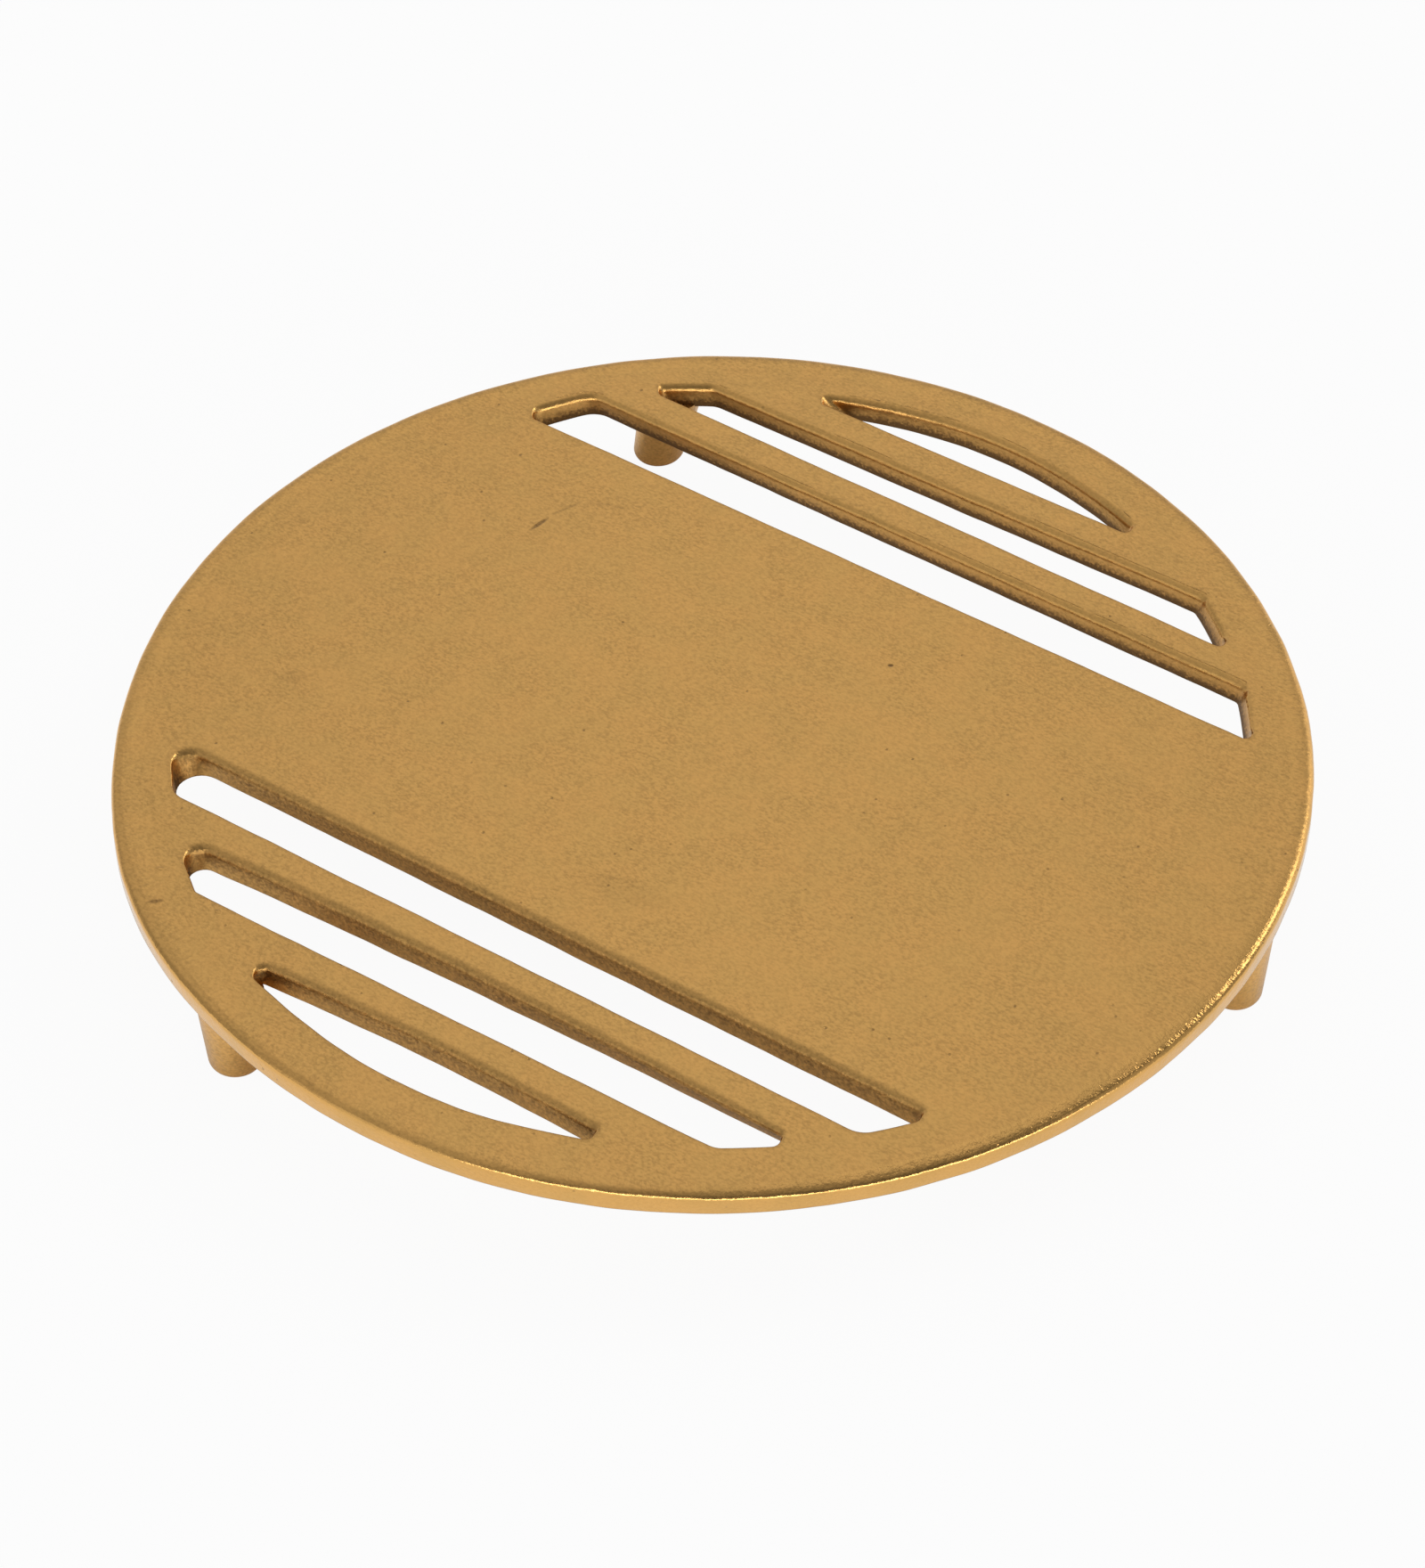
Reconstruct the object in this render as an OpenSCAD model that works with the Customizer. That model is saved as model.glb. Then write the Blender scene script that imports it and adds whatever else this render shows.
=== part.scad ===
// Round slotted trivet: one cast plate standing on three pegged feet.
// Frame: +Z up, origin on the table under the middle of the plate, slots along X.

/* [Plate] */
// Outside diameter of the plate
plate_d = 200; // [180:1:240]
// Thickness of the casting
plate_t = 4.4; // [4:0.1:7]
// Radius of the worn round on the rim's upper edge
rim_top_r = 1.4; // [0.6:0.1:1.8]
// Radius of the small round on the rim's lower edge
rim_foot_r = 0.6; // [0.3:0.1:1]
// Width of the rim's land, from its outer edge to the openings
rim_w = 10.5; // [9.5:0.1:13]

/* [Openings] */
// Depth of the segment opening, from its arc to its straight edge
segment_h = 7.4; // [6:0.1:12]
// Width of the bar between the segment opening and the outer slot
outer_bar_w = 7.5; // [5:0.1:9]
// Width of the slot nearer the rim
outer_slot_w = 7.9; // [7.5:0.1:9]
// Width of the bar between the two slots
inner_bar_w = 6.9; // [5:0.1:9]
// Width of the slot next to the plain panel, which takes what is left in the middle
inner_slot_w = 9.5; // [8:0.1:11]
// Corner radius at the ends of the slots
slot_corner_r = 3.4; // [2:0.1:3.6]
// Corner radius at the two ends of the segment opening
segment_corner_r = 1.4; // [1:0.1:2]
// Width and depth of the bevel on the upper edges of every opening
edge_bevel = 1.1; // [0.5:0.1:1.6]

/* [Feet] */
// Overall height, from the table to the plate's upper face
stand_h = 20; // [16:0.5:28]
// Diameter of a foot where it meets the plate
foot_top_d = 11.2; // [9.6:0.1:12]
// Diameter of a foot at the table, before its edge is rounded
foot_sole_d = 9; // [7.5:0.1:9.5]
// Round on the edge of the sole
sole_edge_r = 1.8; // [0.8:0.1:2.4]
// How far a foot's upper end stands in from the plate's edge
foot_inset = 0.2; // [0.1:0.1:1]
// Direction of the first foot from the middle, in degrees from the slots' direction
foot_turn = 128.6; // [120:0.2:136]

/* [Pegs] */
// Diameter of the peg on top of each foot
peg_d = 6; // [4:0.1:7]
// Length of the peg above the foot's shoulder
peg_l = 2.4; // [1.6:0.1:2.6]
// Chamfer on the peg's upper edge
peg_chamfer = 0.4; // [0.2:0.1:0.6]
// Clearance between peg and socket, on the radius and at the end
peg_gap = 0.05; // [0.02:0.01:0.1]

/* [Hidden] */

// Facets of a round outline, of a bevel's corners and of a bevel along the opening circle
$fn = 96;
corner_facets = 32;
arc_facets = 240;

// How far every cutter runs past the face it cuts
overrun = 1;
// How far a corner's round stands past the edges it joins, so that they meet at a clear angle
round_overlap = 0.02;
// How far inside an opening's wall its bevel begins
bevel_start = edge_bevel / 2;
// The feet are spaced evenly round the rim
foot_count = 3;

plate_r = plate_d / 2;
plate_z = stand_h - plate_t;
// All openings end on this circle
opening_r = plate_r - rim_w;

// Distances of the openings' straight edges from the middle line, counted inwards from the rim
segment_near = opening_r - segment_h;
outer_slot_far = segment_near - outer_bar_w;
outer_slot_near = outer_slot_far - outer_slot_w;
inner_slot_far = outer_slot_near - inner_bar_w;
inner_slot_near = inner_slot_far - inner_slot_w;

foot_top_r = foot_top_d / 2;
foot_sole_r = foot_sole_d / 2;
foot_circle_r = plate_r - foot_inset - foot_top_r;
peg_r = peg_d / 2;

// Centre of a corner of radius r that touches the opening circle, at distance y from the middle line
function corner_at(y, r) = [sqrt(pow(opening_r - r, 2) - pow(y, 2)), y];

// The casting without its openings
module plate_blank() {
    translate([0, 0, plate_z])
        rotate_extrude()
            rim_section();
}

// Half section of the plate, with both rim edges rounded
module rim_section() {
    square([plate_r - rim_top_r, plate_t]);
    square([plate_r - rim_foot_r, plate_t - rim_top_r]);
    translate([0, rim_foot_r])
        square([plate_r, plate_t - rim_top_r - rim_foot_r]);
    translate([plate_r - rim_top_r, plate_t - rim_top_r])
        circle(r = rim_top_r);
    translate([plate_r - rim_foot_r, rim_foot_r])
        circle(r = rim_foot_r);
}

// Its children at the right-hand end of an opening, and mirrored at the left-hand end
module both_ends() {
    children();
    mirror([1, 0])
        children();
}

// The part of an outline that follows the opening circle, between two corner centres
module arc_wedge(first, second, grow) {
    intersection() {
        circle(r = opening_r + grow, $fn = arc_facets);
        polygon([first, 2 * first, 2 * second, second]);
    }
}

// Outline of one long slot between two distances from the middle line, grown by an offset
module slot_outline(near, far, grow) {
    near_corner = corner_at(near + slot_corner_r, slot_corner_r);
    far_corner = corner_at(far - slot_corner_r, slot_corner_r);
    translate([-near_corner.x, near - grow])
        square([2 * near_corner.x, far_corner.y - near + grow]);
    translate([-far_corner.x, near_corner.y])
        square([2 * far_corner.x, far + grow - near_corner.y]);
    both_ends() {
        for (corner = [near_corner, far_corner])
            translate(corner)
                circle(r = slot_corner_r + round_overlap + grow);
        arc_wedge(near_corner, far_corner, grow);
    }
}

// Outline of the segment opening between the outer bar and the rim, grown by an offset
module segment_outline(near, grow) {
    corner = corner_at(near + segment_corner_r, segment_corner_r);
    translate([-corner.x, near - grow])
        square([2 * corner.x, segment_corner_r + grow]);
    both_ends()
        translate(corner)
            circle(r = segment_corner_r + round_overlap + grow);
    arc_wedge(corner, [-corner.x, corner.y], grow);
}

// Outline of the opening with the given index, counted outwards from the panel
module opening_outline(index, grow) {
    if (index == 0)
        slot_outline(inner_slot_near, inner_slot_far, grow);
    else if (index == 1)
        slot_outline(outer_slot_near, outer_slot_far, grow);
    else
        segment_outline(segment_near, grow);
}

// That outline as a prism between two heights
module opening_prism(index, grow, z_from, z_to) {
    translate([0, 0, z_from])
        linear_extrude(height = z_to - z_from)
            opening_outline(index, grow);
}

// Cutter for one opening: a straight wall, and a 45-degree bevel that starts inside it
module opening_cut(index) {
    bevel_z = stand_h - edge_bevel - bevel_start;
    opening_prism(index, 0, plate_z - overrun, stand_h + overrun);
    hull($fn = corner_facets) {
        opening_prism(index, -bevel_start, bevel_z, stand_h);
        opening_prism(index, edge_bevel + overrun, stand_h + overrun, stand_h + 2 * overrun);
    }
}

// The three openings on one side of the panel
module side_openings() {
    for (index = [0:2])
        opening_cut(index);
}

// Places its children at the foot with the given index
module at_foot(index) {
    rotate([0, 0, foot_turn + index * 360 / foot_count])
        translate([foot_circle_r, 0, 0])
            children();
}

// Blind socket in the plate's underside
module peg_socket() {
    translate([0, 0, plate_z - overrun])
        cylinder(r = peg_r + peg_gap, h = overrun + peg_l + peg_gap);
}

// The plate with its six openings, and the sockets that hold the feet
module plate() {
    color("darkgoldenrod")
        difference() {
            plate_blank();
            side_openings();
            mirror([0, 1, 0])
                side_openings();
            for (index = [0:foot_count - 1])
                at_foot(index)
                    peg_socket();
        }
}

// Half section of a foot: tapered body with a rounded sole edge, and chamfered peg
module foot_section() {
    intersection() {
        polygon([
            [0, 0],
            [foot_sole_r, 0],
            [foot_top_r, plate_z],
            [peg_r, plate_z],
            [peg_r, plate_z + peg_l - peg_chamfer],
            [peg_r - peg_chamfer, plate_z + peg_l],
            [0, plate_z + peg_l],
        ]);
        sole_round();
    }
}

// What a foot's half section keeps: all above the round on the sole's edge, and all inside it
module sole_round() {
    taper = atan((foot_top_r - foot_sole_r) / plate_z);
    flat_r = foot_sole_r - (sole_edge_r * (1 - sin(taper)) - round_overlap) / cos(taper);
    square([flat_r, sole_edge_r]);
    translate([0, sole_edge_r])
        square([foot_top_r + overrun, stand_h]);
    translate([flat_r, sole_edge_r])
        circle(r = sole_edge_r);
}

// A foot with its peg, at the place with the given index
module foot(index) {
    color("goldenrod")
        at_foot(index)
            rotate_extrude()
                foot_section();
}

// The foot behind the left-hand ends of the slots
module foot_1() {
    foot(0);
}

// The foot at the front left, beside the segment opening
module foot_2() {
    foot(1);
}

// The foot at the right-hand end of the panel
module foot_3() {
    foot(2);
}

plate();
foot_1();
foot_2();
foot_3();
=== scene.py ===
"""Looks of a round slotted trivet in satin cast brass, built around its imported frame.

The plate is one casting: seven swept edges, one round the rim and one round each opening,
closed above and below by a fine triangle mesh, and roughened as sand leaves it. Three turned
feet stand under the rim. All lengths are in metres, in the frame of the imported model.
"""

import logging
import math
from dataclasses import dataclass, field, fields, replace
from enum import Enum

import bpy
import numpy as np
from mathutils import Matrix, Vector
from mathutils.geometry import delaunay_2d_cdt


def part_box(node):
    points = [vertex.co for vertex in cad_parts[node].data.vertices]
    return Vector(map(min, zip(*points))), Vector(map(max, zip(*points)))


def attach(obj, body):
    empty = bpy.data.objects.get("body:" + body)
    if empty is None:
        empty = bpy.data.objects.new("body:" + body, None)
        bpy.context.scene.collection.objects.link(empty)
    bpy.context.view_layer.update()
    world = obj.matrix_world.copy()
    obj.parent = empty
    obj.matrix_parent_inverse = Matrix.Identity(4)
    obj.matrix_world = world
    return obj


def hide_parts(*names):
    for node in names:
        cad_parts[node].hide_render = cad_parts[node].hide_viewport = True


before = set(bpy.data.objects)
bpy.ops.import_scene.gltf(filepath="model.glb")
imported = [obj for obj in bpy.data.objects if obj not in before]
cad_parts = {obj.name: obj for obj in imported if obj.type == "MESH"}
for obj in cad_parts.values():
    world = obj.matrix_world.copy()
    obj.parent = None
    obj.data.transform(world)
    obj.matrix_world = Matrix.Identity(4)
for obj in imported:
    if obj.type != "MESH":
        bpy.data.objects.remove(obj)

Socket = bpy.types.NodeSocket
Range = tuple[float, float]
Colour = tuple[float, float, float]

MM = 0.001
LOG = logging.getLogger("trivet")

WHITE = (1.0, 1.0, 1.0, 1.0)

# The shares that lay a vector level, by taking its height away
LEVEL = (1.0, 1.0, 0.0)

# How far the sole of a foot that wasn't soldered on straight stands from below its peg, in X and Y
FOOT_LEANS = {"foot_1": (-3.1 * MM, -0.3 * MM)}


class Side(Enum):
    """The side of the plain panel on which an opening lies."""

    FRONT = -1
    BACK = 1


class Wear(Enum):
    """How strongly a finish is worn on its edges, as a share of the base roughness kept there."""

    PLATE = 0.2
    FOOT = 0.8


class Wiring:
    """Adds nodes to one node tree and links them."""

    def __init__(self, tree: bpy.types.NodeTree) -> None:
        """Keep the tree that the nodes go into."""
        self.tree = tree

    def feed(self, socket: Socket, value: object) -> None:
        """Give an input its value.

        Args:
            socket: The input.
            value: The value itself, or the socket that feeds it.
        """
        if isinstance(value, Socket):
            self.tree.links.new(value, socket)
        else:
            socket.default_value = value

    def add(self, kind: str, inputs: dict | None = None, **settings) -> bpy.types.Node:
        """Add one node.

        Args:
            kind: The node's type name.
            inputs: Input names or places, each with a value or with the socket that feeds it.
            **settings: The node's own properties.

        Returns:
            The new node.
        """
        node = self.tree.nodes.new(kind)
        for name, value in settings.items():
            setattr(node, name, value)
        for key, value in (inputs or {}).items():
            self.feed(node.inputs[key], value)
        return node

    def math(self, operation: str, *values) -> Socket:
        """Return the result of a math node fed with numbers or sockets."""
        node = self.add("ShaderNodeMath", dict(enumerate(values)), operation=operation)
        return node.outputs[0]

    def product(self, first: object, second: object) -> Socket:
        """Return the product of two numbers or sockets."""
        return self.math("MULTIPLY", first, second)

    def vector_math(self, operation: str, *values) -> bpy.types.NodeOutputs:
        """Return the outputs of a vector math node fed with vectors or sockets."""
        return self.add("ShaderNodeVectorMath", dict(enumerate(values)), operation=operation).outputs

    def stretched(self, vector: Socket, shares: tuple) -> Socket:
        """Return a vector with each of its parts multiplied by a share of its own."""
        return self.vector_math("MULTIPLY", vector, shares)["Vector"]

    def scaled(self, vector: object, factor: Socket) -> Socket:
        """Return a vector times a number."""
        inputs = {0: vector, "Scale": factor}
        return self.add("ShaderNodeVectorMath", inputs, operation="SCALE").outputs["Vector"]

    def parts(self, vector: Socket) -> bpy.types.NodeOutputs:
        """Return a vector's parts, named X, Y and Z."""
        return self.add("ShaderNodeSeparateXYZ", {0: vector}).outputs

    def joined(self, **parts: object) -> Socket:
        """Return the vector that the parts named X, Y and Z make, where a missing one is 0."""
        return self.add("ShaderNodeCombineXYZ", parts).outputs[0]

    def attribute(self, name: str) -> Socket:
        """Return a mesh's own attribute as a number, in a material."""
        return self.add("ShaderNodeAttribute", attribute_name=name).outputs["Fac"]

    def smooth_step(self, value: Socket, low: float | Socket, high: float | Socket) -> Socket:
        """Return a smooth rise from 0 to 1 over a range, or a fall where the range runs downwards.

        Args:
            value: What is looked at.
            low: The value that gives 0.
            high: The value that gives 1.

        Returns:
            The share, from 0 to 1.
        """
        node = self.add(
            "ShaderNodeMapRange",
            {"Value": value, "From Min": low, "From Max": high},
            interpolation_type="SMOOTHSTEP",
        )
        return node.outputs["Result"]

    def noise(self, vector: Socket, length: float, layers: float = 3.0) -> Socket:
        """Return noise from 0 to 1 whose features are about one given length across.

        Args:
            vector: The coordinates that the pattern follows.
            length: The size of a feature, in metres.
            layers: The number of finer layers.

        Returns:
            The noise's strength.
        """
        inputs = {"Vector": vector, "Scale": 1 / length, "Detail": layers}
        return self.add("ShaderNodeTexNoise", inputs).outputs["Fac"]

    def blend(self, share: Socket, first: object, last: object) -> Socket:
        """Return a colour between two.

        Args:
            share: How much of the last colour there is.
            first: The colour where the share is 0, as a colour or a socket.
            last: The colour where the share is 1, as a colour or a socket.

        Returns:
            The mixed colour.
        """
        node = self.add("ShaderNodeMix", {"Factor": share}, data_type="RGBA")
        for socket, value in zip([s for s in node.inputs if s.type == "RGBA"], (first, last)):
            self.feed(socket, value if isinstance(value, Socket) else (*value, 1.0))
        return next(s for s in node.outputs if s.type == "RGBA")


def fresh_tree(owner: bpy.types.ID) -> Wiring:
    """Empty a material's or a world's own node tree.

    Args:
        owner: The material or the world.

    Returns:
        The wiring of its tree.
    """
    owner.use_nodes = True
    owner.node_tree.nodes.clear()
    return Wiring(owner.node_tree)


class Sizes:
    """A dataclass of sizes that a recipe takes as named inputs, one for each field."""

    @classmethod
    def labels(cls) -> dict[str, str]:
        """Return each field's name with the name of its input, such as Upper Round."""
        return {f.name: f.name.replace("_", " ").title() for f in fields(cls)}

    def inputs(self) -> dict[str, float]:
        """Return the value for each input."""
        return {label: getattr(self, name) for name, label in self.labels().items()}


class GeometryRecipe:
    """A Geometry Nodes tree with named inputs, which turns one mesh into another."""

    def __init__(self, name: str, sizes: type[Sizes]) -> None:
        """Make a tree with its geometry input and output, and an input for each size.

        Args:
            name: The tree's name.
            sizes: The dataclass that holds the sizes.
        """
        self.tree = bpy.data.node_groups.new(name, "GeometryNodeTree")
        self.identifiers: dict[str, str] = {}
        self.tree.interface.new_socket("Geometry", in_out="INPUT", socket_type="NodeSocketGeometry")
        self.tree.interface.new_socket("Geometry", in_out="OUTPUT", socket_type="NodeSocketGeometry")
        self.wiring = Wiring(self.tree)
        self.source = self.wiring.add("NodeGroupInput")
        self.result = self.wiring.add("NodeGroupOutput")
        kinds = {f.name: "Int" if f.type is int else "Float" for f in fields(sizes)}
        self.size = {name: self.input(label, kinds[name]) for name, label in sizes.labels().items()}
        self.place = self.wiring.add("GeometryNodeInputPosition").outputs[0]
        self.index = self.wiring.add("GeometryNodeInputIndex").outputs[0]

    def input(self, name: str, kind: str = "Float") -> Socket:
        """Add a named input.

        Args:
            name: The input's name.
            kind: Its kind, such as Float, Int or Material.

        Returns:
            The socket that gives its value inside the tree.
        """
        item = self.tree.interface.new_socket(name, in_out="INPUT", socket_type=f"NodeSocket{kind}")
        self.identifiers[name] = item.identifier
        return next(s for s in self.source.outputs if s.identifier == item.identifier)

    def switch(self, kind: str, values: list) -> Socket:
        """Return one of several values, chosen by a point's index.

        Args:
            kind: The kind of value, such as FLOAT or VECTOR.
            values: A value or a socket for each index.

        Returns:
            The chosen value.
        """
        node = self.wiring.add("GeometryNodeIndexSwitch", data_type=kind)
        while len(node.index_switch_items) < len(values):
            node.index_switch_items.new()
        for socket, value in zip(node.inputs, (self.index, *values)):
            self.wiring.feed(socket, value)
        return node.outputs[0]

    def section(self, corners: list[Socket], rounds: list, counts: list, limit: bool) -> Socket:
        """Return an open curve through the corners of a section, with these corners rounded.

        Args:
            corners: The corners' places.
            rounds: The radius of each corner's round.
            counts: The number of extra points on each round.
            limit: Whether rounds that leave each other no room are made smaller.

        Returns:
            The curve.
        """
        straight = self.wiring.add("GeometryNodeMeshLine", {"Count": len(corners)}).outputs[0]
        placed = self.wiring.add(
            "GeometryNodeSetPosition",
            {"Geometry": straight, "Position": self.switch("VECTOR", corners)},
        )
        curve = self.wiring.add("GeometryNodeMeshToCurve", {"Mesh": placed.outputs[0]})
        rounded = self.wiring.add(
            "GeometryNodeFilletCurve",
            {
                "Curve": curve.outputs[0],
                "Count": self.switch("INT", counts),
                "Radius": self.switch("FLOAT", rounds),
                "Limit Radius": limit,
            },
            mode="POLY",
        )
        return rounded.outputs[0]

    def close(self, geometry: Socket) -> None:
        """End the tree in Realize Instances and Set Material, with the material as an input.

        Args:
            geometry: What the tree has made.
        """
        realize = self.wiring.add("GeometryNodeRealizeInstances", {"Geometry": geometry})
        paint = self.wiring.add(
            "GeometryNodeSetMaterial",
            {"Geometry": realize.outputs[0], "Material": self.input("Material", "Material")},
        )
        self.tree.links.new(paint.outputs[0], self.result.inputs[0])

    def run(
        self, mesh: bpy.types.Mesh, sizes: Sizes, finish: bpy.types.Material | None = None
    ) -> bpy.types.Mesh:
        """Run the tree on a mesh.

        Args:
            mesh: The mesh that the tree starts from, which is removed afterwards.
            sizes: The values for the named inputs.
            finish: The material that the new mesh gets.

        Returns:
            A new plain mesh.
        """
        carrier = linked(mesh.name, mesh)
        modifier = carrier.modifiers.new(self.tree.name, "NODES")
        modifier.node_group = self.tree
        for name, value in sizes.inputs().items():
            modifier[self.identifiers[name]] = value
        if finish is not None:
            modifier[self.identifiers["Material"]] = finish
        graph = bpy.context.evaluated_depsgraph_get()
        made = bpy.data.meshes.new_from_object(
            carrier.evaluated_get(graph), preserve_all_data_layers=True, depsgraph=graph
        )
        name = mesh.name
        carrier.modifiers.remove(modifier)
        bpy.data.objects.remove(carrier)
        bpy.data.meshes.remove(mesh)
        made.name = name
        return made


def mesh_of(name: str, points: np.ndarray, edges: list, faces: list) -> bpy.types.Mesh:
    """Return a mesh.

    Args:
        name: The mesh's name.
        points: Its points, as rows of x, y and z.
        edges: Pairs of points, where it has edges without faces.
        faces: The points round each face.

    Returns:
        The new mesh.
    """
    mesh = bpy.data.meshes.new(name)
    mesh.from_pydata([tuple(p) for p in points], edges, faces)
    mesh.update()
    return mesh


def linked(name: str, data: bpy.types.ID) -> bpy.types.Object:
    """Put something into the scene.

    Args:
        name: The new object's name.
        data: Its mesh, lamp or camera.

    Returns:
        The new object.
    """
    made = bpy.data.objects.new(name, data)
    bpy.context.scene.collection.objects.link(made)
    return made


def points_of(mesh: bpy.types.Mesh) -> np.ndarray:
    """Read a mesh's points.

    Args:
        mesh: The mesh.

    Returns:
        Its points, as rows of x, y and z.
    """
    found = np.empty(len(mesh.vertices) * 3, np.float32)
    mesh.vertices.foreach_get("co", found)
    return found.reshape(-1, 3).astype(float)


def values_of(mesh: bpy.types.Mesh, attribute: str) -> np.ndarray:
    """Read one attribute of a mesh's points.

    Args:
        mesh: The mesh.
        attribute: The attribute's name.

    Returns:
        One number for each point.
    """
    found = np.zeros(len(mesh.vertices), np.float32)
    mesh.attributes[attribute].data.foreach_get("value", found)
    return found


def eased(share: np.ndarray) -> np.ndarray:
    """Return shares kept between 0 and 1, with a soft start and a soft end."""
    kept = np.clip(share, 0, 1)
    return kept**2 * (3 - 2 * kept)


def cosine(degrees: float) -> float:
    """Return the cosine of an angle in degrees."""
    return math.cos(math.radians(degrees))


def bearing(azimuth: float, elevation: float) -> tuple:
    """Return the direction at an angle round from X and an angle up from the floor, in degrees."""
    a, e = math.radians(azimuth), math.radians(elevation)
    return math.cos(a) * math.cos(e), math.sin(a) * math.cos(e), math.sin(e)


def arc(centre: np.ndarray, radius: float, start: float, end: float, count: int) -> np.ndarray:
    """Return evenly spaced points along an arc, both its ends included.

    Args:
        centre: The arc's centre, as x and y.
        radius: Its radius.
        start: The angle it starts at, in radians.
        end: The angle it ends at, in radians.
        count: The number of points.

    Returns:
        The points, as rows of x and y.
    """
    angles = np.linspace(start, end, count)
    return centre + radius * np.column_stack([np.cos(angles), np.sin(angles)])


def line(first: np.ndarray, last: np.ndarray, count: int) -> np.ndarray:
    """Return evenly spaced points from the first, included, towards the last, left out."""
    return first + (last - first) * (np.arange(count) / count)[:, None]


def inside(loop: np.ndarray, points: np.ndarray) -> np.ndarray:
    """Tell which points lie inside a closed loop.

    Args:
        loop: The loop's corners in order, as rows of x and y.
        points: The points to test, as rows of x and y.

    Returns:
        One true or false value for each point.
    """
    odd = np.zeros(len(points), bool)
    for (x0, y0), (x1, y1) in zip(loop, np.roll(loop, -1, axis=0)):
        if y0 == y1:
            continue
        level = (points[:, 1] >= min(y0, y1)) & (points[:, 1] < max(y0, y1))
        crossing = x0 + (points[:, 1] - y0) * (x1 - x0) / (y1 - y0)
        odd ^= level & (points[:, 0] < crossing)
    return odd


@dataclass(frozen=True)
class EdgeSection(Sizes):
    """The section of one swept edge, from the underside up the wall to the upper face.

    Above the wall's round the metal rises by a small amount over the ease, and a flat land lies
    past it. The wall is painted darker between two depths below the upper face, partly dirt and
    partly painted shade, with one share there and another at its foot. A painted dark line, which
    stands in for a dark reflection, may run along the upper edge, at its own place across the
    section and with its own reach. The wear is what polishes the round on the upper edge, and the
    side below it. The height is the casting's, and it is filled in when the section is swept.
    """

    upper_round: float
    ease: float
    rise: float = 0.0
    dark_line: float = 0.0
    line_place: float = 1.5 * MM
    line_reach: float = 0.5 * MM
    dark_start: float = 0.0
    dark_depth: float = 2.0 * MM
    dark_share: float = 0.3
    dark_foot: float = 0.3
    edge_wear: float = 1.0
    side_wear: float = 0.0
    lower_round: float = 0.45 * MM
    draft: float = 0.1 * MM
    land: float = 0.3 * MM
    height: float = 0.0


@dataclass(frozen=True)
class Drift:
    """How far a straight edge strays along Y: in the middle, per metre along X, and its bow."""

    middle: float = 0.0
    tilt: float = 0.0
    bow: float = 0.0

    def at(self, x: np.ndarray) -> np.ndarray:
        """Return the distance strayed at each place along X."""
        return self.middle + self.tilt * x + self.bow * x**2


@dataclass(frozen=True)
class Cut:
    """One level of an opening: how its edges stray and how its four corners are rounded."""

    near: Drift = Drift()
    far: Drift = Drift()
    circle_growth: float = 0.0
    near_left: float = 3.4 * MM
    near_right: float = 3.4 * MM
    far_left: float = 3.4 * MM
    far_right: float = 3.4 * MM


@dataclass
class Band:
    """A swept edge: its points run up the section, one outline point after the other."""

    points: np.ndarray
    values: dict[str, np.ndarray]
    faces: list
    count: int
    layers = ("wear", "dirt")

    @property
    def steps(self) -> int:
        """The number of points in the section."""
        return len(self.points) // self.count

    def blended(self, other: "Band", share: np.ndarray) -> "Band":
        """Return a band that turns into another one along its outline.

        Args:
            other: The band that it turns into.
            share: How much of the other band each outline point takes.

        Returns:
            The mixed band.
        """
        part = np.repeat(share, self.steps)
        points = self.points + (other.points - self.points) * part[:, None]
        values = {
            key: (own + (other.values[key] - own) * part).astype(np.float32)
            for key, own in self.values.items()
        }
        return Band(points, values, self.faces, self.count)

    def leaned(self, shift: np.ndarray, floor: float, height: float) -> "Band":
        """Return the band with its walls leaning.

        Args:
            shift: How far each outline point moves at the top, as rows of x and y.
            floor: The level at which nothing moves.
            height: The height above it at which the whole shift is reached.

        Returns:
            The leaning band.
        """
        raised = eased((self.points[:, 2] - floor) / height)
        moved = self.points.copy()
        moved[:, :2] += np.repeat(shift, self.steps, axis=0) * raised[:, None]
        return Band(moved, self.values, self.faces, self.count)


@dataclass(frozen=True)
class Exposure:
    """The walls that a kind of wear reaches, told by the direction that they face.

    The heading is in degrees from X. A wall has a share from the start's angle away from it,
    in degrees, and its share is 1 within the full angle.
    """

    heading: float
    start: float
    full: float

    def share(self, outline: np.ndarray) -> np.ndarray:
        """Return how much the wall along an outline is exposed.

        Args:
            outline: The closed outline, with the metal on its right.

        Returns:
            A share from 0 to 1 for each point.
        """
        along = np.roll(outline, -1, axis=0) - np.roll(outline, 1, axis=0)
        along /= np.linalg.norm(along, axis=1)[:, None]
        towards = math.radians(self.heading)
        facing = -along[:, 1] * math.cos(towards) + along[:, 0] * math.sin(towards)
        low, high = cosine(self.start), cosine(self.full)
        return eased((facing - low) / (high - low))


def between(loops: list[np.ndarray], points: np.ndarray) -> np.ndarray:
    """Tell which points lie inside the first loop and outside all the others.

    Args:
        loops: The loops, each as rows of x and y.
        points: The points to test, as rows of x and y.

    Returns:
        One true or false value for each point.
    """
    keep = inside(loops[0], points)
    for loop in loops[1:]:
        keep &= ~inside(loop, points)
    return keep


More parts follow.
